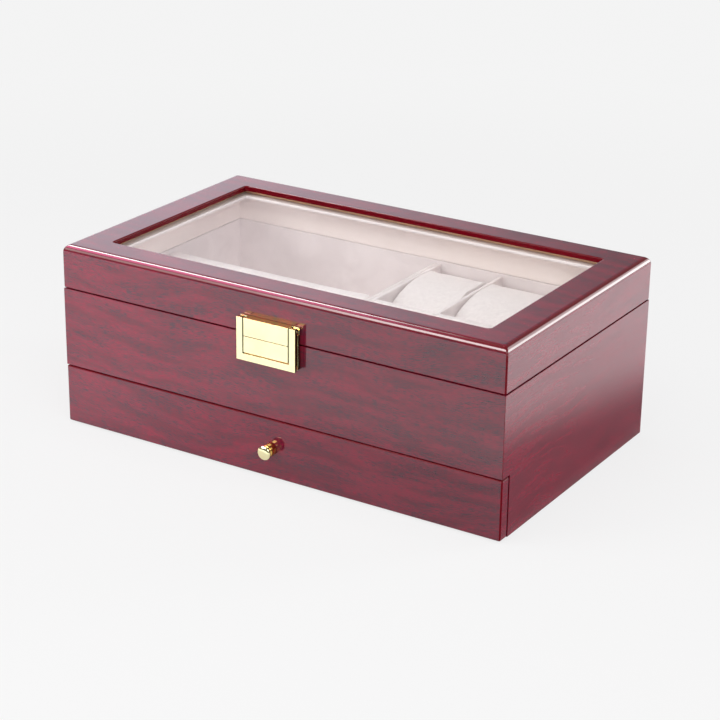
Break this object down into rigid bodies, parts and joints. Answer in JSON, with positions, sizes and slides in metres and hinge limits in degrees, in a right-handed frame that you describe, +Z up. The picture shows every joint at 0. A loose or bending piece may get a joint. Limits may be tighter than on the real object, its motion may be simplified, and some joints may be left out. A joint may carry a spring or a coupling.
{
  "type": "watch and jewelry box",
  "caption": "Lacquered wooden watch and jewelry box with a glass-topped hinged lid, padded watch cells, a lined tray and a full-width drawer.",
  "frame": {"origin": "centre of the box's footprint, on the underside of the base felt", "axes": "+X to the right along the front, +Y to the hinges at the back, +Z up; the drawer faces -Y"},
  "size_m": [0.336, 0.2149, 0.128],
  "materials": {
    "lacquered_wood": "high-gloss lacquer over dark red streaked veneer",
    "plain_board": "unlacquered brown board",
    "velvet": "short-pile cream velvet on card",
    "pillow_suede": "off-white suede cloth over foam",
    "glass": "clear pane",
    "brass": "polished yellow brass plate",
    "screw_steel": "plated steel",
    "base_felt": "black felt"
  },
  "bodies": {
    "case": {"case_front_rail": "lacquered_wood", "case_back_wall": "lacquered_wood", "case_left_wall": "lacquered_wood", "case_right_wall": "lacquered_wood", "partition_board": "plain_board", "bottom_board": "plain_board", "base_felt": "base_felt", "tray_floor_lining": "velvet", "tray_lining": "velvet", "left_tray_wall": "velvet", "right_tray_wall": "velvet", "left_tray_bar": "velvet", "middle_divider": "velvet", "column_divider_1": "velvet", "column_divider_2": "velvet", "watch_pillow_1": "pillow_suede", "watch_pillow_2": "pillow_suede", "watch_pillow_3": "pillow_suede", "watch_pillow_4": "pillow_suede", "watch_pillow_5": "pillow_suede", "watch_pillow_6": "pillow_suede", "latch_keeper": "brass", "hinge_case_leaf_left": "brass", "hinge_case_leaf_right": "brass", "hinge_pin_left": "brass", "hinge_pin_right": "brass", "case_hinge_screw_left_1": "screw_steel", "case_hinge_screw_left_2": "screw_steel", "case_hinge_screw_right_1": "screw_steel", "case_hinge_screw_right_2": "screw_steel"},
    "lid": {"lid_top_frame": "lacquered_wood", "lid_front_rail": "lacquered_wood", "lid_back_rail": "lacquered_wood", "lid_left_rail": "lacquered_wood", "lid_right_rail": "lacquered_wood", "lid_glass": "glass", "glass_retainer": "velvet", "lid_lining": "velvet", "latch_lid_block": "brass", "latch_pin": "brass", "hinge_lid_leaf_left": "brass", "hinge_lid_leaf_right": "brass", "lid_hinge_screw_left_1": "screw_steel", "lid_hinge_screw_left_2": "screw_steel", "lid_hinge_screw_right_1": "screw_steel", "lid_hinge_screw_right_2": "screw_steel"},
    "latch": {"latch_hasp": "brass"},
    "drawer": {"drawer_front": "lacquered_wood", "drawer_left_side": "plain_board", "drawer_right_side": "plain_board", "drawer_back": "plain_board", "drawer_bottom": "plain_board", "drawer_lining": "velvet", "drawer_divider": "velvet", "ring_rolls": "velvet", "drawer_knob": "brass", "knob_screw": "screw_steel"}
  },
  "joints": [
    {"name": "lid_hinge", "type": "hinge", "parent": "case", "child": "lid", "pos_m": [0, 0.1025, 0.0976], "axis": [-1, 0, 0], "range_deg": [0, 100]},
    {"name": "latch_hinge", "type": "hinge", "parent": "lid", "child": "latch", "pos_m": [0, -0.1038, 0.1079], "axis": [-1, 0, 0], "range_deg": [0, 95]},
    {"name": "drawer_slide", "type": "slide", "parent": "case", "child": "drawer", "axis": [0, -1, 0], "range_m": [0, 0.15]}
  ]
}
